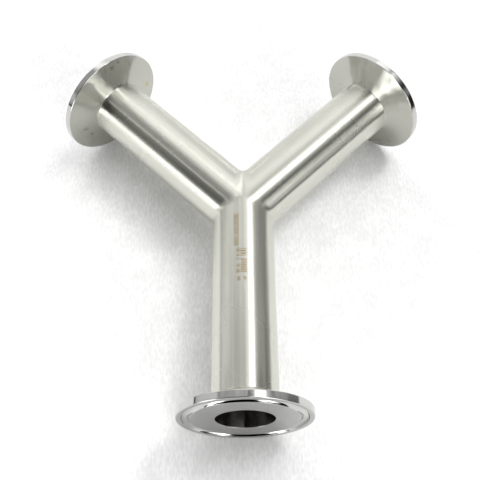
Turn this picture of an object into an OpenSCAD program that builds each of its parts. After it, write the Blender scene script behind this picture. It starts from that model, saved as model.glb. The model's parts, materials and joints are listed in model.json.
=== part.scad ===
// Wye fitting for hygienic pipework: one run port and two branch ports, each ending in a clamp ferrule.
// Millimetres. The origin is the centre of the run port's sealing face. The run goes along +Y to the
// point where the three centre lines cross, and the branches leave that point at equal angles.

/* [Tube] */
// Outside diameter of the tube legs
tube_od = 25.4; // [19.05:0.05:31.8]
// Wall thickness of the tube legs
tube_wall = 1.65; // [1.2:0.05:2.5]

/* [Layout] */
// Length of the run leg, from its sealing face to the crossing of the centre lines
run_leg = 88.9; // [60:0.1:150]
// Length of each branch leg, from its sealing face to the crossing of the centre lines
branch_leg = 88.9; // [60:0.1:150]
// Angle between each branch and the straight-on line of the run
branch_angle = 45; // [35:0.5:60]

/* [Dressed welds] */
// Radius of the polished blend at the side, between the run and each branch
knee_blend = 2; // [1:0.25:4]
// Radius of the polished blend at the side, in the crotch between the two branches
crotch_blend = 1.75; // [1:0.25:4]
// Radius that the blends open to on top and below, where the polishing belt lies flatter
crown_blend = 6; // [4:0.5:7]

/* [Clamp ferrules] */
// Outside diameter of the clamp rim
rim_od = 50.5; // [48:0.1:64]
// Thickness of the rim at its outside edge
rim_thickness = 2.85; // [2:0.05:4]
// Slope of the rim's back, which the clamp's groove pulls on
back_bevel = 20; // [15:0.5:25]
// Length of a ferrule, from its sealing face to its weld
ferrule_length = 21.5; // [16:0.5:28]
// Radius of the turned corner where the rim's back meets the ferrule's neck
neck_radius = 0.8; // [0.4:0.1:3]
// Break of the rim's front and back edges
edge_break = 0.35; // [0.1:0.05:0.6]

/* [Gasket groove] */
// Diameter of the groove's centre line on the sealing face
groove_d = 43.5; // [40:0.1:44]
// Radius of the round-bottomed groove
groove_radius = 1.6; // [1.2:0.05:2]
// Depth of the groove below the sealing face
groove_depth = 1.3; // [0.8:0.05:1.6]

/* [Hidden] */
$fn = 96;

// Facets round half a tube and along half a blend, where the junction is a computed skin
SKIN_ROUND = 36;
SKIN_BLEND = 6;
// Plain tube kept between the end of a blend and the exact cylinder of the leg
BLEND_MARGIN = 0.6;
// The skin lies this far inside the cylinder that it runs on from, so that no edge grazes it
SKIN_INSET = 0.01;
// How far a cutting shape runs past what it cuts
CUT = 1;

tube_r = tube_od / 2;
bore_r = tube_r - tube_wall;
rim_r = rim_od / 2;
// Half the angle between two neighbouring legs: the tubes are mitred on that plane
knee_half = (180 - branch_angle) / 2;
crotch_half = branch_angle;

skin_r = tube_r - SKIN_INSET;

// turn goes from 0 on top of the tube through 90 at its side to 180 below
function blend_radius(turn, side_blend) = side_blend + (crown_blend - side_blend) * pow(cos(turn), 2);

// Distance from the crossing, along a leg, to where the blend has run out into plain tube
function blend_end(turn, half_angle, side_blend) =
    (skin_r * sin(turn) + blend_radius(turn, side_blend)) / tan(half_angle);
function furthest_end(half_angle, side_blend) =
    max([for (turn = [0:90]) blend_end(turn, half_angle, side_blend)]);
knee_end = furthest_end(knee_half, knee_blend);
crotch_end = furthest_end(crotch_half, crotch_blend);
run_skin = knee_end + BLEND_MARGIN;
branch_skin = max(knee_end, crotch_end) + BLEND_MARGIN;

// One point of the outer skin, in a leg's own frame: x along the leg, y to the side, z up.
// bend goes from 0 at the blend's start to 90 - half_angle on the mitre plane, along a level arc.
function skin_point(turn, bend, half_angle, side_blend) =
    let (radius = blend_radius(turn, side_blend))
    [
        blend_end(turn, half_angle, side_blend) - radius * sin(bend),
        skin_r * sin(turn) + radius * (1 - cos(bend)),
        skin_r * cos(turn)
    ];

// Half of a leg's end at the junction, on its +y side: from the plane x = reach to the mitre plane
module mitred_half(half_angle, side_blend, reach) {
    stations = SKIN_BLEND + 2;
    last = stations - 1;
    skin = [
        for (i = [0:SKIN_ROUND], j = [0:last])
            let (turn = 180 * i / SKIN_ROUND)
            j == 0
                ? [reach, skin_r * sin(turn), skin_r * cos(turn)]
                : skin_point(turn, (90 - half_angle) * (j - 1) / SKIN_BLEND, half_angle, side_blend)
    ];
    function at(i, j) = i * stations + j;
    top = len(skin);
    bottom = top + 1;
    sides = [
        for (i = [0:SKIN_ROUND - 1], j = [0:last - 1])
            each [
                [at(i, j), at(i, j + 1), at(i + 1, j)],
                [at(i, j + 1), at(i + 1, j + 1), at(i + 1, j)]
            ]
    ];
    // Level corners on top and below, between the blend's first arc and the crossing
    corners = [
        for (j = [1:last - 1])
            each [
                [top, at(0, j + 1), at(0, j)],
                [bottom, at(SKIN_ROUND, j), at(SKIN_ROUND, j + 1)]
            ]
    ];
    end_face = [[for (i = [0:SKIN_ROUND]) at(i, 0)]];
    mitre_face = [[top, bottom, for (i = [SKIN_ROUND:-1:0]) at(i, last)]];
    // Four triangles, none of them along the level line that several of its corners share
    centre_face = [
        [top, at(0, 1), bottom],
        [at(0, 1), at(SKIN_ROUND, 1), bottom],
        [at(0, 1), at(0, 0), at(SKIN_ROUND, 1)],
        [at(0, 0), at(SKIN_ROUND, 0), at(SKIN_ROUND, 1)]
    ];
    polyhedron(
        points = concat(skin, [[0, 0, skin_r], [0, 0, -skin_r]]),
        faces = concat(sides, corners, end_face, mitre_face, centre_face),
        convexity = 4
    );
}

// A tube leg in its own frame, from its mitre at the crossing to its weld at x = weld
module tube_leg(weld, reach, left_half, left_blend, right_half, right_blend) {
    difference() {
        union() {
            mitred_half(left_half, left_blend, reach);
            mirror([0, 1, 0]) mitred_half(right_half, right_blend, reach);
            translate([reach, 0, 0]) rotate([0, 90, 0]) cylinder(r = tube_r, h = weld - reach);
        }
        translate([-tube_od, 0, 0]) rotate([0, 90, 0]) cylinder(r = bore_r, h = weld + tube_od + CUT);
    }
}

// The small corner left between the rim's back, the neck and the turning tool's round nose
module neck_corner() {
    slope = tan(back_bevel);
    corner_z = rim_thickness + (rim_r - tube_r) * slope;
    nose_r = tube_r + neck_radius;
    nose_z = corner_z - neck_radius * slope + neck_radius / cos(back_bevel);
    difference() {
        polygon([
            [bore_r + tube_wall / 2, corner_z - tube_wall],
            [nose_r - neck_radius * sin(back_bevel), nose_z - neck_radius * cos(back_bevel) - edge_break],
            [nose_r - neck_radius * sin(back_bevel), nose_z - neck_radius * cos(back_bevel)],
            [tube_r, nose_z],
            [bore_r + tube_wall / 2, nose_z]
        ]);
        translate([nose_r, nose_z]) circle(r = neck_radius);
    }
}

// Half section of a ferrule: x is the radius, and y the distance behind the sealing face
module ferrule_section() {
    slope = tan(back_bevel);
    difference() {
        union() {
            polygon([
                [bore_r, 0],
                [rim_r - edge_break, 0],
                [rim_r, edge_break],
                [rim_r, rim_thickness - edge_break * slope],
                [rim_r - edge_break, rim_thickness + edge_break * slope],
                [tube_r, rim_thickness + (rim_r - tube_r) * slope],
                [tube_r, ferrule_length],
                [bore_r, ferrule_length]
            ]);
            neck_corner();
        }
        translate([groove_d / 2, groove_depth - groove_radius]) circle(r = groove_radius);
    }
}

// A ferrule in its leg's frame, with its sealing face at x = leg
module ferrule(leg) {
    translate([leg, 0, 0]) rotate([0, -90, 0]) rotate_extrude() ferrule_section();
}

// Puts a leg's own frame into the part: heading is the leg's direction from the crossing
module at_crossing(heading) {
    translate([0, run_leg, 0]) rotate([0, 0, heading]) children();
}

module run_tube() {
    color("silver") at_crossing(-90)
        tube_leg(run_leg - ferrule_length, run_skin, knee_half, knee_blend, knee_half, knee_blend);
}

module left_branch_tube() {
    color("silver") at_crossing(90 + branch_angle)
        tube_leg(branch_leg - ferrule_length, branch_skin, knee_half, knee_blend, crotch_half, crotch_blend);
}

module right_branch_tube() {
    color("silver") at_crossing(90 - branch_angle)
        tube_leg(branch_leg - ferrule_length, branch_skin, crotch_half, crotch_blend, knee_half, knee_blend);
}

module run_ferrule() {
    color("gainsboro") at_crossing(-90) ferrule(run_leg);
}

module left_ferrule() {
    color("gainsboro") at_crossing(90 + branch_angle) ferrule(branch_leg);
}

module right_ferrule() {
    color("gainsboro") at_crossing(90 - branch_angle) ferrule(branch_leg);
}

run_tube();
left_branch_tube();
right_branch_tube();
run_ferrule();
left_ferrule();
right_ferrule();
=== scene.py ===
"""Dressed model of a hygienic wye fitting.

A satin tube parts in two, and a turned clamp ferrule is welded on each of its three ends.
"""

import json
import math

import bpy
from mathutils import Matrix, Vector


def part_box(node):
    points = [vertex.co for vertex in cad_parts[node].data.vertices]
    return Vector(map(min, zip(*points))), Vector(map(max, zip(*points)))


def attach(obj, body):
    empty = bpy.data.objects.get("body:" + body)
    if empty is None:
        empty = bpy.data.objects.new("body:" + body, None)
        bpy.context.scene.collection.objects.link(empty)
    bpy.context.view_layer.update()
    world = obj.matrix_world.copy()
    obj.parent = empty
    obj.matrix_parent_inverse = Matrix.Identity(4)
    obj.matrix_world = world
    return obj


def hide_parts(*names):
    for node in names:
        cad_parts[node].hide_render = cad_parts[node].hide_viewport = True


bl_info = {
    "name": "Hygienic Wye Fitting",
    "version": (1, 0, 0),
    "blender": (4, 5, 0),
    "location": "3D View > Sidebar > Wye Fitting",
    "description": "Models a polished steel wye with three clamp ferrules and sets its studio",
    "category": "Object",
}

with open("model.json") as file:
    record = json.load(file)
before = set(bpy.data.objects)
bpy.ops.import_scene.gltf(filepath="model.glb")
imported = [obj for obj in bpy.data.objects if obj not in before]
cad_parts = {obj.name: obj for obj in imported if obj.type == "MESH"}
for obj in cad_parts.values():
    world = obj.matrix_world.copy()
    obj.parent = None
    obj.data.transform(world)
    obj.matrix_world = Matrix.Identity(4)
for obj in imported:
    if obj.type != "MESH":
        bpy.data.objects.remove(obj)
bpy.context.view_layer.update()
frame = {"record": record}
MOUNTS = {mount["name"]: mount for mount in frame["record"]["mounts"]}

MM = 0.001
PORTS = ("run", "left", "right")
# Facets round a tube or a ferrule
SIDES = 192
# Tolerances of cutting, of merging vertices and of lying on a plane
CUT = 1e-7
MERGE = 2e-6
ON_PLANE = 5e-6
# Segments across a dressed weld, and the angles over which tubes and ferrules keep a sharp corner
WELD_SEGMENTS = 10
TUBE_CORNER = 35
FERRULE_CORNER = 30
# Material slots of a ferrule
TURNED, SATIN, BORE, FACE, BRIGHT, RIM = range(6)
# Roughness of the brushed tubes and turned backs, the faces, the rims, the grooves and the bores
BRUSHED = 0.27
FACED = 0.18
RIMMED = 0.12
GROOVED = 0.09
BORED = 0.16
# Height of the waves under the tool lines of the turned backs, the faces and the rims
BACK_WAVE = 0.00055
FACE_WAVE = 0.00002
RIM_WAVE = 0.00004
WAVE_SCALE = 110.0
# Brushing and tool lines: noise scale, depth, and strength on the tubes and on the ferrules
LINE_SCALE = 1600.0
LINE_DEPTH = 0.00001
BRUSHING = 0.02
TOOL_LINES = 0.06
# Clouds in the steel's tint and haze in its roughness: noise scale and share
CLOUD_SCALE = 60.0
CLOUD_SHARE = 0.05
HAZE_SCALE = 50.0
HAZE_SHARE = 0.05
# Half the stretch over which the brushing turns from one leg to the next
MITRE_BLUR = 0.004
# Etched blocks and ticks on the run, in mm: from and to along it, from and to across it, stroke pitch
MARK_ROWS = (
    (9.1, 14.8, 2.0, 4.1, 0.95),
    (15.1, 19.1, 2.0, 4.1, 1.0),
    (19.8, 24.1, 2.0, 4.1, 0.95),
    (25.0, 27.2, 1.5, 3.1, 0.75),
    (27.8, 28.9, 1.5, 3.1, 0.6),
    (29.9, 30.6, 1.5, 3.1, 0.9),
    (32.2, 33.6, 1.5, 3.1, 0.7),
    (34.4, 36.3, 1.5, 3.1, 0.7),
    (37.6, 39.5, 1.5, 2.7, 0.8),
    (25.4, 28.7, -1.0, 1.4, 1.1),
    (29.7, 36.1, -1.1, 1.3, 0.75),
    (37.7, 39.2, -0.9, 0.2, 0.8),
)
# Softness of the marks' edges, in mm, and the scale of their wear
MARK_EDGE = 0.05
MARK_WEAR_SCALE = 2500.0
# Stains on the ferrules' backs: port, place, radius, strength and the name of their colour
STAINS = (
    ("left", (-0.0457, 0.1618, -0.0001), 0.0013, 1.0, "speck"),
    ("left", (-0.0583, 0.1508, 0.0222), 0.0014, 0.6, "smudge"),
    ("left", (-0.0558, 0.1540, 0.0227), 0.0010, 0.6, "smudge"),
    ("left", (-0.0722, 0.1349, -0.0014), 0.0016, 0.55, "smudge"),
    ("left", (-0.0705, 0.1362, -0.0065), 0.0013, 0.55, "smudge"),
)
STAIN_SCALE = 1500.0
# Rings of edges round each leg, this far from the crossing, keep the long faces out of the blends
LEG_RINGS = (0.0165, 0.0175)


def heading(port):
    """Direction of a port's leg, from the crossing outwards."""
    return Vector(MOUNTS[port + "_bore"]["axis"]).normalized()


def face_centre(port):
    """Centre of a port's sealing face."""
    return Vector(MOUNTS[port + "_bore"]["pos_m"])


def leg_length(port):
    """Length of a port's leg, from its sealing face to the crossing."""
    return MOUNTS[port + "_bore"]["dims"]["length_mm"] * MM


CROSSING = face_centre("run") - heading("run") * leg_length("run")


class FittingSizes(bpy.types.PropertyGroup):
    """Sizes of the fitting."""

    tube_radius: bpy.props.FloatProperty(
        name="Tube radius",
        description="Outside radius of the tube legs",
        default=0.0127,
        unit="LENGTH",
    )
    bore_radius: bpy.props.FloatProperty(
        name="Bore radius",
        description="Radius of the bore through each leg",
        default=MOUNTS["run_bore"]["dims"]["r_mm"] * MM,
        unit="LENGTH",
    )
    rim_radius: bpy.props.FloatProperty(
        name="Rim radius",
        description="Radius of the clamp rims",
        default=MOUNTS["run_rim"]["dims"]["r_mm"] * MM,
        unit="LENGTH",
    )
    ferrule_length: bpy.props.FloatProperty(
        name="Ferrule length",
        description="From a sealing face to its weld",
        default=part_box("run_ferrule")[1].y,
        unit="LENGTH",
    )
    knee_blend: bpy.props.FloatProperty(
        name="Knee blend",
        description="Blend radius at the side, between the run and a branch",
        default=0.002,
        unit="LENGTH",
    )
    crotch_blend: bpy.props.FloatProperty(
        name="Crotch blend",
        description="Blend radius at the side, between the branches",
        default=0.00175,
        unit="LENGTH",
    )
    crown_blend: bpy.props.FloatProperty(
        name="Crown blend",
        description="Radius that the blends open to on top and below",
        default=0.006,
        unit="LENGTH",
    )
    rim_thickness: bpy.props.FloatProperty(
        name="Rim thickness",
        description="Thickness of the rim at its edge",
        default=0.00285,
        unit="LENGTH",
    )
    back_bevel: bpy.props.FloatProperty(
        name="Back bevel",
        description="Slope of the rim's back",
        default=math.radians(20),
        unit="ROTATION",
    )
    neck_radius: bpy.props.FloatProperty(
        name="Neck radius",
        description="Turned corner where the rim's back meets the neck",
        default=0.0008,
        unit="LENGTH",
    )
    edge_break: bpy.props.FloatProperty(
        name="Edge break",
        description="Rounding of the rim's edges",
        default=0.00035,
        unit="LENGTH",
    )
    fine_break: bpy.props.FloatProperty(
        name="Fine break",
        description="Rounding of the groove's and the bore's edges",
        default=0.00012,
        unit="LENGTH",
    )
    groove_mid: bpy.props.FloatProperty(
        name="Groove radius on the face",
        description="Radius of the groove's centre line",
        default=0.02175,
        unit="LENGTH",
    )
    groove_radius: bpy.props.FloatProperty(
        name="Groove section",
        description="Radius of the round-bottomed groove",
        default=0.0016,
        unit="LENGTH",
    )
    groove_depth: bpy.props.FloatProperty(
        name="Groove depth",
        description="Depth of the groove below the face",
        default=0.0013,
        unit="LENGTH",
    )


def colour(name, description, default):
    """A colour that the user can change."""
    return bpy.props.FloatVectorProperty(
        name=name,
        description=description,
        default=default,
        size=3,
        min=0,
        max=1,
        subtype="COLOR",
    )


class FittingColours(bpy.types.PropertyGroup):
    """Colours of the fitting and its studio."""

    tube: colour("Tube steel", "Satin steel of the tube", (0.71, 0.71, 0.64))
    ferrule: colour("Ferrule steel", "Turned steel of the ferrules", (0.54, 0.54, 0.49))
    # The sealing faces' colour is darker than the ferrule steel: partly their finer turning, partly painted
    # shade standing in for the shaded floor that they mirror
    face: colour("Sealing faces", "Finely turned steel of the sealing faces", (0.40, 0.40, 0.385))
    # The rims' colour is lighter than the ferrule steel: partly their bright polish, partly painted
    # highlight so that their reflections come out white; the groove and the broken edges share it
    rim: colour("Rims", "Bright steel of the rims, their edges and the gasket grooves", (0.61, 0.61, 0.59))
    bore: colour("Bore steel", "Steel inside the tube", (0.44, 0.43, 0.41))
    mark: colour("Etched mark", "Heat tint of the etched mark", (0.44, 0.31, 0.12))
    speck: colour("Stain", "Stain on the left ferrule", (0.44, 0.44, 0.01))
    smudge: colour("Smudges", "Smudges on the left ferrule", (0.25, 0.21, 0.13))
    floor: colour("Floor", "Pale floor", (0.88, 0.88, 0.88))


def select_none():
    """Nothing is selected or being edited."""
    if bpy.context.object and bpy.context.object.mode != "OBJECT":
        bpy.ops.object.mode_set(mode="OBJECT")
    bpy.ops.object.select_all(action="DESELECT")


def only(piece):
    """The piece is the one that operators act on."""
    select_none()
    piece.select_set(True)
    bpy.context.view_layer.objects.active = piece


def edit(piece, kind="VERT"):
    """Opens a piece in edit mode with nothing selected."""
    only(piece)
    bpy.ops.object.mode_set(mode="EDIT")
    bpy.ops.mesh.select_mode(type=kind)
    bpy.ops.mesh.select_all(action="DESELECT")


def pick(piece, group, chosen):
    """Selects the vertices, edges or faces of a piece, open in edit mode, that a test chooses."""
    bpy.ops.object.mode_set(mode="OBJECT")
    for item in getattr(piece.data, group):
        item.select = chosen(item)
    bpy.ops.object.mode_set(mode="EDIT")


def close():
    """Leaves edit mode with the piece's vertices merged and its faces outwards."""
    bpy.ops.mesh.select_all(action="SELECT")
    bpy.ops.mesh.remove_doubles(threshold=MERGE)
    bpy.ops.mesh.normals_make_consistent(inside=False)
    bpy.ops.object.mode_set(mode="OBJECT")


def settle(piece):
    """The piece's place goes into its mesh."""
    only(piece)
    bpy.ops.object.transform_apply(location=True, rotation=True, scale=True)


def smooth(piece, angle):
    """Smooth shading that keeps corners over the angle, led by the large faces."""
    only(piece)
    bpy.ops.object.shade_smooth_by_angle(angle=angle)
    bpy.ops.object.modifier_add(type="WEIGHTED_NORMAL")
    modifier = piece.modifiers[-1]
    modifier.keep_sharp = True
    modifier.weight = 80
    bpy.ops.object.modifier_apply(modifier=modifier.name)


def mitre_planes(port):
    """Normals of the planes through the crossing where a leg is mitred to its two neighbours."""
    return [(heading(port) - heading(other)).normalized() for other in PORTS if other != port]


def tube_shell(port, radius, weld):
    """An open tube from the crossing to its weld, cut on its two mitre planes."""
    along = heading(port)
    start = CROSSING - along * radius * 3
    end = CROSSING + along * weld
    bpy.ops.mesh.primitive_cylinder_add(
        vertices=SIDES,
        radius=radius,
        depth=(end - start).length,
        end_fill_type="NOTHING",
        location=(start + end) / 2,
        rotation=(math.radians(90), 0, math.atan2(along.x, -along.y)),
    )
    shell = bpy.context.object
    settle(shell)
    edit(shell)
    for normal in mitre_planes(port):
        bpy.ops.mesh.select_all(action="SELECT")
        bpy.ops.mesh.bisect(plane_co=CROSSING, plane_no=normal, clear_inner=True, threshold=CUT)
    for distance in LEG_RINGS:
        bpy.ops.mesh.select_all(action="SELECT")
        bpy.ops.mesh.bisect(plane_co=CROSSING + along * distance, plane_no=along, threshold=CUT)
    bpy.ops.object.mode_set(mode="OBJECT")
    return shell


def joined_shells(name, radius, welds):
    """The three tubes of one radius, merged on their mitres."""
    shells = [tube_shell(port, radius, weld) for port, weld in zip(PORTS, welds)]
    select_none()
    for shell in shells:
        shell.select_set(True)
    bpy.context.view_layer.objects.active = shells[0]
    bpy.ops.object.join()
    joined = bpy.context.object
    joined.name = name
    edit(joined)
    close()
    return joined


def dress_welds(shell, sizes):
    """Rounds the mitred corners as a polishing belt does: tight at the sides, wider on top and below."""
    mesh = shell.data
    weights = mesh.attributes.new("bevel_weight_edge", "FLOAT", "EDGE")
    pairs = [
        ("run", "left", sizes.knee_blend),
        ("run", "right", sizes.knee_blend),
        ("left", "right", sizes.crotch_blend),
    ]
    widest = 0.0
    wanted = {}
    for first, second, side_blend in pairs:
        normal = (heading(first) - heading(second)).normalized()
        half = heading(first).angle(heading(second)) / 2
        inwards = (heading(first) + heading(second)).normalized()
        for edge in mesh.edges:
            a, b = (mesh.vertices[i].co for i in edge.vertices)
            if max(abs((p - CROSSING).dot(normal)) for p in (a, b)) > ON_PLANE:
                continue
            middle = (a + b) / 2 - CROSSING
            if middle.dot(inwards) < ON_PLANE:
                continue
            level = (middle.z / sizes.tube_radius) ** 2
            radius = side_blend + (sizes.crown_blend - side_blend) * level
            run_out = radius / math.tan(half)
            slant = (b - a).angle(heading(first))
            wanted[edge.index] = run_out * math.sin(slant)
            widest = max(widest, wanted[edge.index])
    for index, width in wanted.items():
        weights.data[index].value = width / widest
    only(shell)
    bpy.ops.object.modifier_add(type="BEVEL")
    bevel = shell.modifiers[-1]
    bevel.limit_method = "WEIGHT"
    bevel.offset_type = "OFFSET"
    bevel.width = widest
    bevel.segments = WELD_SEGMENTS
    bevel.profile = 0.5
    bevel.use_clamp_overlap = False
    bevel.miter_outer = "MITER_SHARP"
    bpy.ops.object.modifier_apply(modifier=bevel.name)


class WYE_OT_tube_body(bpy.types.Operator):
    """Models the three mitred tubes with their welds dressed smooth"""

    bl_idname = "wye.tube_body"
    bl_label = "Tube Body"

    def execute(self, context):
        sizes = context.scene.wye_sizes
        welds = [leg_length(port) - sizes.ferrule_length for port in PORTS]
        body = joined_shells("wye_body", sizes.tube_radius, welds)
        dress_welds(body, sizes)
        lining = joined_shells("lining", sizes.bore_radius, welds)
        edit(lining)
        bpy.ops.mesh.select_all(action="SELECT")
        bpy.ops.mesh.flip_normals()
        bpy.ops.object.mode_set(mode="OBJECT")
        body.data.materials.append(satin_steel(context.scene.wye_colours, sizes))
        body.data.materials.append(bore_steel(context.scene.wye_colours))
        lining.data.materials.append(body.data.materials[1])
        select_none()
        lining.select_set(True)
        body.select_set(True)
        context.view_layer.objects.active = body
        bpy.ops.object.join()
        edit(body, "EDGE")
        for port, weld in zip(PORTS, welds):
            along = heading(port)

            def at_weld(edge):
                ends = (body.data.vertices[i].co for i in edge.vertices)
                return all(abs((end - CROSSING).dot(along) - weld) < ON_PLANE for end in ends)

            bpy.ops.mesh.select_all(action="DESELECT")
            pick(body, "edges", at_weld)
            bpy.ops.mesh.bridge_edge_loops()
        bpy.ops.object.mode_set(mode="OBJECT")
        smooth(body, math.radians(TUBE_CORNER))
        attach(body, "root")
        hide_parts("run_tube", "left_branch_tube", "right_branch_tube")
        return {"FINISHED"}


def arc(centre, radius, start, end, steps):
    """Points of a round stretch, from one angle in degrees to another."""
    angles = [math.radians(start + (end - start) * i / steps) for i in range(steps + 1)]
    return [(centre[0] + radius * math.cos(a), centre[1] + radius * math.sin(a)) for a in angles]


def ferrule_profile(sizes):
    """Closed half section of a ferrule, as (radius, distance behind the sealing face)."""
    slope = math.tan(sizes.back_bevel)
    bevel = math.degrees(sizes.back_bevel)
    fine, edge = sizes.fine_break, sizes.edge_break
    groove_y = sizes.groove_depth - sizes.groove_radius
    reach = sizes.groove_radius + fine
    lip = math.degrees(math.asin((fine - groove_y) / reach))
    lip_x = reach * math.cos(math.radians(lip))
    tube, rim, bore = sizes.tube_radius, sizes.rim_radius, sizes.bore_radius
    back = sizes.rim_thickness + edge * slope
    back_centre = back - edge / math.cos(sizes.back_bevel)
    nose = sizes.neck_radius
    corner = sizes.rim_thickness + (rim - tube) * slope
    nose_y = corner - nose * slope + nose / math.cos(sizes.back_bevel)
    points = arc((bore + fine, fine), fine, 180, 270, 4)
    points += arc((sizes.groove_mid - lip_x, fine), fine, 270, 360 - lip, 3)
    points += arc((sizes.groove_mid, groove_y), sizes.groove_radius, 180 - lip, lip, 20)
    points += arc((sizes.groove_mid + lip_x, fine), fine, 180 + lip, 270, 3)
    points += arc((rim - edge, edge), edge, 270, 360, 5)
    points += arc((rim - edge, back_centre), edge, 0, 90 - bevel, 5)
    points += arc((tube + nose, nose_y), nose, 270 - bevel, 180, 8)
    points += [(tube, sizes.ferrule_length), (bore, sizes.ferrule_length)]
    return points


def turned_ring(name, port, points):
    """Draws a half section point by point and spins it round a leg's axis."""
    centre, inwards = face_centre(port), -heading(port)
    places = [centre + Vector((0, 0, r)) + inwards * depth for r, depth in points]
    bpy.ops.mesh.primitive_plane_add(size=MM, location=places[0])
    ring = bpy.context.object
    ring.name = name
    settle(ring)
    edit(ring)
    bpy.ops.mesh.select_all(action="SELECT")
    bpy.ops.mesh.merge(type="CENTER")
    for here, there in zip(places, places[1:]):
        bpy.ops.mesh.extrude_region_move(TRANSFORM_OT_translate={"value": there - here})
    pick(ring, "vertices", lambda v: v.index in (0, len(ring.data.vertices) - 1))
    bpy.ops.mesh.edge_face_add()
    bpy.ops.mesh.select_all(action="SELECT")
    bpy.ops.mesh.spin(steps=SIDES, angle=math.tau, center=centre, axis=inwards)
    close()
    return ring


def finish_index(sizes, radius, depth):
    """Material slot of a ferrule's face, from its radius and its depth behind the sealing face."""
    if radius < sizes.bore_radius + sizes.fine_break * 0.1:
        return BORE
    if radius < sizes.tube_radius + sizes.neck_radius * 0.02 and depth > sizes.rim_thickness:
        return SATIN
    if radius > sizes.rim_radius - sizes.fine_break * 0.1:
        return RIM
    if radius > sizes.rim_radius - sizes.edge_break:
        return BRIGHT
    if depth < sizes.fine_break * 0.01:
        return FACE
    in_groove = abs(radius - sizes.groove_mid) < sizes.groove_radius + sizes.fine_break
    if depth < sizes.edge_break or (in_groove and depth < sizes.groove_depth * 1.01):
        return BRIGHT
    return TURNED


class WYE_OT_ferrules(bpy.types.Operator):
    """Turns the three clamp ferrules from one half section"""

    bl_idname = "wye.ferrules"
    bl_label = "Clamp Ferrules"

    def execute(self, context):
        sizes = context.scene.wye_sizes
        colours = context.scene.wye_colours
        points = ferrule_profile(sizes)
        bright = bright_steel(colours)
        for port in PORTS:
            ring = turned_ring("clamp_ferrule_" + port, port, points)
            finishes = {
                TURNED: turned_steel(colours, port, "turned_steel_", colours.ferrule, BRUSHED, BACK_WAVE),
                SATIN: bpy.data.materials["satin_steel"],
                BORE: bpy.data.materials["bore_steel"],
                # The sealing faces take a darker copy of the steel, partly painted shade for the shaded
                # floor that they mirror
                FACE: turned_steel(colours, port, "face_steel_", colours.face, FACED, FACE_WAVE),
                BRIGHT: bright,
                # The rims take a lighter copy of the steel, partly painted highlight so that their
                # reflections come out white
                RIM: turned_steel(colours, port, "rim_steel_", colours.rim, RIMMED, RIM_WAVE),
            }
            for slot in sorted(finishes):
                ring.data.materials.append(finishes[slot])
            centre, along = face_centre(port), heading(port)
            for polygon in ring.data.polygons:
                offset = polygon.center - centre
                depth = -offset.dot(along)
                radius = (offset + along * depth).length
                polygon.material_index = finish_index(sizes, radius, depth)
            smooth(ring, math.radians(FERRULE_CORNER))
            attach(ring, "root")
            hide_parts(port + "_ferrule")
        return {"FINISHED"}


class Shader:
    """A node tree being built, with short calls for the nodes that repeat."""

    def __init__(self, tree):
        self.tree = tree

    def node(self, kind, settings=None, inputs=None):
        """A new node with its settings and its inputs, each a value or a socket."""
        made = self.tree.nodes.new(kind)
        for key, value in (settings or {}).items():
            setattr(made, key, value)
        for key, value in (inputs or {}).items():
            self.feed(made.inputs[key], value)
        return made

    def feed(self, socket, value):
        """Links a socket to an input, or sets its value."""
        if isinstance(value, bpy.types.NodeSocket):
            self.tree.links.new(value, socket)
        else:
            socket.default_value = value

    def math(self, operation, *values):
        """Result of a calculation with numbers."""
        made = self.node("ShaderNodeMath", {"operation": operation})
        for socket, value in zip(made.inputs, values):
            self.feed(socket, value)
        return made.outputs[0]

    def vector(self, operation, *values, output="Vector"):
        """Result of a calculation with vectors."""
        made = self.node("ShaderNodeVectorMath", {"operation": operation})
        for socket, value in zip(made.inputs, values):
            self.feed(socket, value)
        return made.outputs[output]

    def ramp(self, value, low, high, out_low=0.0, out_high=1.0):
        """A reading carried smoothly from one range to another."""
        made = self.node(
            "ShaderNodeMapRange",
            {"interpolation_type": "SMOOTHSTEP"},
            {"Value": value, "From Min": low, "From Max": high, "To Min": out_low, "To Max": out_high},
        )
        return made.outputs["Result"]

    def noise(self, vector, scale, detail=3.0):
        """Noise round 0.5."""
        made = self.node("ShaderNodeTexNoise", None, {"Vector": vector, "Scale": scale, "Detail": detail})
        return made.outputs["Fac"]

    def mix(self, factor, first, second):
        """Mix of two colours."""
        made = self.node("ShaderNodeMix", {"data_type": "RGBA"})
        self.feed(made.inputs[0], factor)
        self.feed(made.inputs[6], first)
        self.feed(made.inputs[7], second)
        return made.outputs[2]

    def lerp(self, factor, first, second):
        """Mix of two numbers."""
        made = self.node("ShaderNodeMix", {"data_type": "FLOAT"})
        self.feed(made.inputs[0], factor)
        self.feed(made.inputs[2], first)
        self.feed(made.inputs[3], second)
        return made.outputs[0]

    def turn(self, factor, first, second):
        """Mix of two directions, whose parts may be negative."""
        made = self.node("ShaderNodeMix", {"data_type": "VECTOR"})
        self.feed(made.inputs[0], factor)
        self.feed(made.inputs[4], first)
        self.feed(made.inputs[5], second)
        return made.outputs[1]


def new_material(name):
    """A steel material: its node tree and its principled shader."""
    made = bpy.data.materials.new(name)
    made.use_nodes = True
    shader = Shader(made.node_tree)
    surface = made.node_tree.nodes["Principled BSDF"]
    surface.inputs["Metallic"].default_value = 1.0
    return made, shader, surface


def rgba(value):
    """An opaque colour."""
    return (*value, 1.0)


def polish(shader, surface, position, tint, rough):
    """Polished steel: a cloudy tint, and a roughness that wanders slowly round its value."""
    cloud = shader.noise(position, CLOUD_SCALE)
    darker = tuple(c * (1 - CLOUD_SHARE) for c in tint)
    base = shader.mix(shader.ramp(cloud, 0.1, 0.9), rgba(tint), rgba(darker))
    haze = shader.noise(position, HAZE_SCALE, 1.0)
    smoother, rougher = rough * (1 - HAZE_SHARE), rough * (1 + HAZE_SHARE)
    shader.feed(surface.inputs["Roughness"], shader.ramp(haze, 0.1, 0.9, smoother, rougher))
    return base


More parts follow.
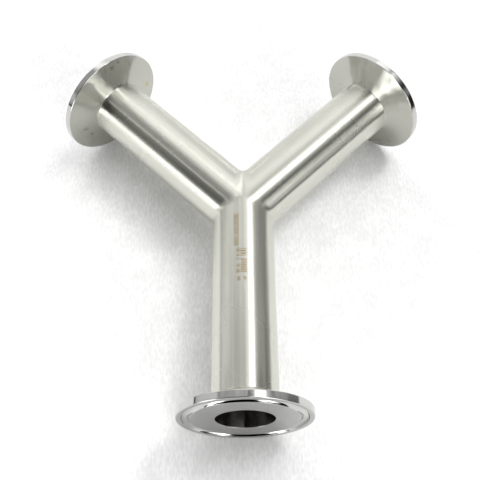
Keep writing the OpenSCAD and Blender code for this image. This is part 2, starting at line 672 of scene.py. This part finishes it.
def brushed_bump(shader, surface, reading, strength, under=None):
    """Fine lines in the bump that follow one reading across the brushing, on top of any other bump."""
    lines = shader.node(
        "ShaderNodeTexNoise",
        {"noise_dimensions": "1D"},
        {"W": reading, "Scale": LINE_SCALE, "Detail": 3.0},
    ).outputs["Fac"]
    bump = shader.node(
        "ShaderNodeBump", None, {"Strength": strength, "Distance": LINE_DEPTH, "Height": lines}
    )
    if under:
        shader.feed(bump.inputs["Normal"], under)
    shader.feed(surface.inputs["Normal"], bump.outputs["Normal"])


def leg_direction(shader, offset):
    """Direction of the leg that a point is on, softly changing at the mitres, and its distance along it."""
    along = {
        port: shader.vector("DOT_PRODUCT", offset, tuple(heading(port)), output="Value") for port in PORTS
    }
    branch = shader.math("MAXIMUM", along["left"], along["right"])
    on_run = shader.ramp(shader.math("SUBTRACT", along["run"], branch), -MITRE_BLUR, MITRE_BLUR)
    to_right = shader.math("SUBTRACT", along["right"], along["left"])
    on_right = shader.ramp(to_right, -MITRE_BLUR, MITRE_BLUR)
    branches = shader.turn(on_right, heading("left"), heading("right"))
    direction = shader.turn(on_run, branches, -heading("run"))
    return direction, shader.math("MAXIMUM", along["run"], branch)


def outside(shader, reading, low, high):
    """How far a reading lies outside a range, and negative inside it."""
    from_middle = shader.math("ABSOLUTE", shader.math("SUBTRACT", reading, (low + high) / 2))
    return shader.math("SUBTRACT", from_middle, (high - low) / 2)


def etched_mark(shader, offset, tube_radius):
    """Mask of a generic row of etched blocks and ticks on top of the run."""
    parts = shader.node("ShaderNodeSeparateXYZ", None, {0: offset}).outputs
    distance = shader.math("MULTIPLY", parts[1], -1 / MM)
    turn = shader.math("ARCTAN2", parts[0], parts[2])
    across = shader.math("MULTIPLY", turn, -tube_radius / MM)
    mask = 0.0
    for start, end, low, high, pitch in MARK_ROWS:
        lengthways = outside(shader, distance, start, end)
        crossways = outside(shader, across, low, high)
        inside = shader.ramp(shader.math("MAXIMUM", lengthways, crossways), MARK_EDGE, -MARK_EDGE)
        wave = shader.math("PINGPONG", shader.math("SUBTRACT", distance, start), pitch / 2)
        stroke = shader.ramp(wave, pitch * 0.36, pitch * 0.28)
        mask = shader.math("MAXIMUM", mask, shader.math("MULTIPLY", inside, stroke))
    wear = shader.ramp(shader.noise(offset, MARK_WEAR_SCALE, 2.0), 0.3, 0.6, 0.35, 0.9)
    return shader.math("MULTIPLY", mask, wear)


def satin_steel(colours, sizes):
    """Tube steel, brushed round the tube, with a generic etched mark on the run."""
    made, shader, surface = new_material("satin_steel")
    position = shader.node("ShaderNodeTexCoord").outputs["Object"]
    offset = shader.vector("SUBTRACT", position, tuple(CROSSING))
    base = polish(shader, surface, position, colours.tube, BRUSHED)
    mark = etched_mark(shader, offset, sizes.tube_radius)
    shader.feed(surface.inputs["Base Color"], shader.mix(mark, base, rgba(colours.mark)))
    direction, distance = leg_direction(shader, offset)
    surface.inputs["Anisotropic"].default_value = 1.0
    shader.feed(surface.inputs["Tangent"], direction)
    brushed_bump(shader, surface, distance, BRUSHING)
    return made


def bore_steel(colours):
    """Steel inside the tube, drawn and bored round the leg's axis."""
    made, shader, surface = new_material("bore_steel")
    position = shader.node("ShaderNodeTexCoord").outputs["Object"]
    base = polish(shader, surface, position, colours.bore, BORED)
    shader.feed(surface.inputs["Base Color"], base)
    direction, _ = leg_direction(shader, shader.vector("SUBTRACT", position, tuple(CROSSING)))
    surface.inputs["Anisotropic"].default_value = 1.0
    shader.feed(surface.inputs["Tangent"], direction)
    return made


def bright_steel(colours):
    """Steel polished like a mirror, in the groove and on the broken edges."""
    made, shader, surface = new_material("bright_steel")
    position = shader.node("ShaderNodeTexCoord").outputs["Object"]
    # The groove and the broken edges take the rims' lighter colour, partly painted highlight
    shader.feed(surface.inputs["Base Color"], polish(shader, surface, position, colours.rim, GROOVED))
    return made


def turned_steel(colours, port, name, tint, rough, wave):
    """Ferrule steel with concentric tool lines round a leg's axis, over slight waves."""
    made, shader, surface = new_material(name + port)
    position = shader.node("ShaderNodeTexCoord").outputs["Object"]
    around = shader.vector(
        "CROSS_PRODUCT", tuple(heading(port)), shader.vector("SUBTRACT", position, tuple(face_centre(port)))
    )
    normal = shader.node("ShaderNodeNewGeometry").outputs["True Normal"]
    base = polish(shader, surface, position, tint, rough)
    for _, place, radius, strength, dirt in (stain for stain in STAINS if stain[0] == port):
        near = shader.vector("DISTANCE", position, place, output="Value")
        ragged = shader.math("MULTIPLY_ADD", shader.noise(position, STAIN_SCALE), radius * 2, near)
        spot = shader.ramp(ragged, radius * 2.2, radius * 1.2, 0.0, strength)
        base = shader.mix(spot, base, rgba(getattr(colours, dirt)))
    shader.feed(surface.inputs["Base Color"], base)
    surface.inputs["Anisotropic"].default_value = 1.0
    shader.feed(surface.inputs["Tangent"], shader.vector("CROSS_PRODUCT", normal, around))
    swell = shader.noise(position, WAVE_SCALE, 1.0)
    waves = shader.node("ShaderNodeBump", None, {"Strength": 1.0, "Distance": wave, "Height": swell})
    radius = shader.vector("LENGTH", around, output="Value")
    brushed_bump(shader, surface, radius, TOOL_LINES, waves.outputs["Normal"])
    return made


# Patches of light, placed so that the steel shows its stripes. The names only say roughly where they lie.
PATCHES = (
    # name, compass, height, half width, half height, softness, added brightness
    ("ceiling, high right", 103.4, 75.2, 55.2, 11.4, 1.4, 2.15),
    ("softbox, right", 75.9, 62.6, 39.9, 6.6, 1.4, 1.19),
    ("softbox, foot", 82.9, 57.1, 34.7, 12.6, 13.4, 0.71),
    ("ceiling, left", -42, 66.6, 51.5, 20.3, 1.5, 0.46),
    ("lamp, back left", -14.8, 56.4, 17.4, 8.7, 12.4, 0.65),
    ("ceiling, back", 0, 44, 37.4, 5.1, 13.5, 1.61),
    ("back wall, left", -34.2, 27.8, 11.7, 12.2, 6.1, 1.7),
    ("back wall, right", 26.7, 27.3, 13.8, 14.9, 14, 0.87),
    ("back wall, middle", 0.8, 16, 14.9, 20.6, 3.7, 1.18),
    ("back table, left", -36, 8.8, 10.2, 6.2, 7.1, 3.05),
    ("back table, right", 31.1, 5.1, 8.5, 9, 4, 2.02),
    ("side wall, left", -62.4, 25.3, 10.6, 20.7, 11.7, 0.45),
    ("corner, left", -76.8, 21.7, 15.8, 20.4, 0.8, 0.48),
    ("window, left", -124.9, 12.7, 24, 8.2, 0.9, 1.66),
    ("rail, left", -88.9, 49.7, 3.9, 3.2, 4.2, 2.63),
    ("side wall, right", 65.1, 14.3, 4.1, 24.7, 13, 1.02),
    ("far wall, right", 92.9, 24.5, 19.7, 5.6, 5.7, 0.31),
    ("lamp behind, right", 137.8, 25.5, 14.1, 17.8, 5.8, 2.75),
    ("ceiling, back right", 24.7, 57.6, 21.3, 10.8, 1.1, 0.96),
    ("far wall foot, right", 140.5, 23.6, 13.3, 3.2, 1.4, 2.18),
    ("softbox, core", 73.3, 62.3, 9.7, 5.5, 8.9, 7.19),
    ("window, behind left", -138.3, 6.7, 8.4, 15.6, 2.7, 3.21),
    ("door, behind left", -133.4, 5.6, 10.2, 10.5, 1.9, 2.78),
    ("wall, behind right", 150.3, 28.1, 4.1, 6.6, 2.1, 5.65),
    ("table, far left", -90.3, 12.7, 2.8, 5.8, 14, 1.56),
    ("wall, front", 180, 10, 40, 9, 4, 0.8),
)
# Brightness of all that lies below the horizon, whose height is in degrees
BELOW = 0.81
HORIZON = -5.5
# Brightness of the plain backdrop that the camera sees
BACKDROP = 1.0
# Floor: size and place of the sheet, scales of its fibres and of its painted fold shade, and the tint that
# the fibres' grain and the painted fold shade darken it to
FLOOR_SIZE = 1.4
FLOOR_CENTRE = (-0.38, 0.1)
FIBRE_SCALE = 1400.0
FIBRE_STRETCH = (1.0, 0.3, 1.0)
FOLD_SHADE_SCALE = 90.0
FLOOR_GRAIN_AND_FOLD_SHADE = 0.8
# Lamps over the floor: name, compass, height, spread and strength
FLOOR_LAMPS = (
    ("key_lamp", 55, 55, 17, 0.92),
    ("fill_lamp", -5, 72, 60, 0.84),
)
# The photograph's camera: place, turn in degrees, lens on a 36 mm sensor and shift
CAMERA_PLACE = (-0.0038505, -0.0729804, 0.2547914)
CAMERA_TURN = (32.82262, -0.86119, -0.74876)
LENS = 52.8791
SHIFT = (-0.016512, -0.070520)


def studio_world():
    """A plain pale backdrop, and a room for the steel to mirror: patches of light by direction.

    The compass runs in degrees from +Y towards +X, and the height in degrees above level.
    """
    world = bpy.data.worlds.new("studio")
    bpy.context.scene.world = world
    world.use_nodes = True
    shader = Shader(world.node_tree)
    direction = shader.node("ShaderNodeTexCoord").outputs["Generated"]
    parts = shader.node("ShaderNodeSeparateXYZ", None, {0: direction}).outputs
    compass = shader.math("MULTIPLY", shader.math("ARCTAN2", parts[0], parts[1]), 180 / math.pi)
    height = shader.math("MULTIPLY", shader.math("ARCSINE", parts[2]), 180 / math.pi)
    light = 0.0
    for _, az, el, half_az, half_el, soft, brightness in PATCHES:
        turn = shader.math("WRAP", shader.math("SUBTRACT", compass, az), 180.0, -180.0)
        across = shader.math("SUBTRACT", shader.math("ABSOLUTE", turn), half_az)
        rise = shader.math("ABSOLUTE", shader.math("SUBTRACT", height, el))
        up = shader.math("SUBTRACT", rise, half_el)
        inside = shader.ramp(shader.math("MAXIMUM", across, up), soft / 2, -soft / 2)
        light = shader.math("MULTIPLY_ADD", inside, brightness, light)
    above = shader.math("GREATER_THAN", height, HORIZON)
    room = shader.lerp(above, BELOW, light)
    seen = shader.node("ShaderNodeLightPath").outputs["Is Camera Ray"]
    background = world.node_tree.nodes["Background"]
    background.inputs["Color"].default_value = (1, 1, 1, 1)
    shader.feed(background.inputs["Strength"], shader.lerp(seen, room, BACKDROP))


def floor_lamp(name, az, el, spread, strength):
    """A soft distant lamp for the floor, which the steel doesn't mirror."""
    bpy.ops.object.light_add(type="SUN", rotation=(math.radians(90 - el), 0, math.radians(180 - az)))
    lamp = bpy.context.object
    lamp.name = name
    lamp.data.angle = math.radians(spread)
    lamp.data.energy = strength
    lamp.visible_glossy = False


def pale_floor(colours, rim_radius):
    """A plain pale sheet that the rims rest on."""
    bpy.ops.mesh.primitive_plane_add(size=FLOOR_SIZE, location=(*FLOOR_CENTRE, -rim_radius))
    floor = bpy.context.object
    floor.name = "floor"
    settle(floor)
    made = bpy.data.materials.new("pale_sheet")
    made.use_nodes = True
    shader = Shader(made.node_tree)
    surface = made.node_tree.nodes["Principled BSDF"]
    position = shader.node("ShaderNodeTexCoord").outputs["Object"]
    fibres = shader.noise(shader.vector("MULTIPLY", position, FIBRE_STRETCH), FIBRE_SCALE)
    # Painted shade: soft darker patches stand in for the shade of folds in the sheet, which is modelled
    # flat
    fold_shade_noise = shader.noise(position, FOLD_SHADE_SCALE, 4.0)
    fine, fold_shade = shader.ramp(fibres, 0.3, 0.7, 0.3, 1.0), shader.ramp(fold_shade_noise, 0.3, 0.6, 0.6, 1.0)
    # The fibres' grain and the painted fold shade darken the floor together
    grain_and_fold_shade = shader.math("MULTIPLY", fine, fold_shade)
    darker = tuple(c * FLOOR_GRAIN_AND_FOLD_SHADE for c in colours.floor)
    shader.feed(surface.inputs["Base Color"], shader.mix(grain_and_fold_shade, rgba(darker), rgba(colours.floor)))
    surface.inputs["Roughness"].default_value = 0.9
    floor.data.materials.append(made)


def photo_camera():
    """The camera where the photograph was taken from."""
    data = bpy.data.cameras.new("camera")
    camera = bpy.data.objects.new("camera", data)
    bpy.context.scene.collection.objects.link(camera)
    camera.location = CAMERA_PLACE
    camera.rotation_euler = [math.radians(a) for a in CAMERA_TURN]
    data.sensor_width = 36
    data.lens = LENS
    data.shift_x, data.shift_y = SHIFT
    data.clip_start = 0.01
    data.clip_end = 20
    bpy.context.scene.camera = camera


class WYE_OT_studio(bpy.types.Operator):
    """Sets the floor, the studio light and the camera"""

    bl_idname = "wye.studio"
    bl_label = "Studio"

    def execute(self, context):
        pale_floor(context.scene.wye_colours, context.scene.wye_sizes.rim_radius)
        studio_world()
        for lamp in FLOOR_LAMPS:
            floor_lamp(*lamp)
        photo_camera()
        context.scene.view_settings.view_transform = "Standard"
        return {"FINISHED"}


class WYE_PT_panel(bpy.types.Panel):
    """Sizes, colours and steps of the wye fitting"""

    bl_idname = "WYE_PT_panel"
    bl_label = "Wye Fitting"
    bl_space_type = "VIEW_3D"
    bl_region_type = "UI"
    bl_category = "Wye Fitting"

    def draw(self, context):
        for group in (context.scene.wye_sizes, context.scene.wye_colours):
            for name in group.__annotations__:
                self.layout.prop(group, name)
        for operator in OPERATORS:
            self.layout.operator(operator.bl_idname)


OPERATORS = (WYE_OT_tube_body, WYE_OT_ferrules, WYE_OT_studio)
CLASSES = (FittingSizes, FittingColours, *OPERATORS, WYE_PT_panel)


def register():
    """Adds the fitting's classes and its settings on the scene."""
    for item in CLASSES:
        bpy.utils.register_class(item)
    bpy.types.Scene.wye_sizes = bpy.props.PointerProperty(type=FittingSizes)
    bpy.types.Scene.wye_colours = bpy.props.PointerProperty(type=FittingColours)


def unregister():
    """Takes the settings and the classes away again."""
    del bpy.types.Scene.wye_colours
    del bpy.types.Scene.wye_sizes
    for item in reversed(CLASSES):
        bpy.utils.unregister_class(item)


def main():
    """Builds the fitting and its studio."""
    register()
    bpy.ops.wye.tube_body()
    bpy.ops.wye.ferrules()
    bpy.ops.wye.studio()


if __name__ == "__main__":
    main()
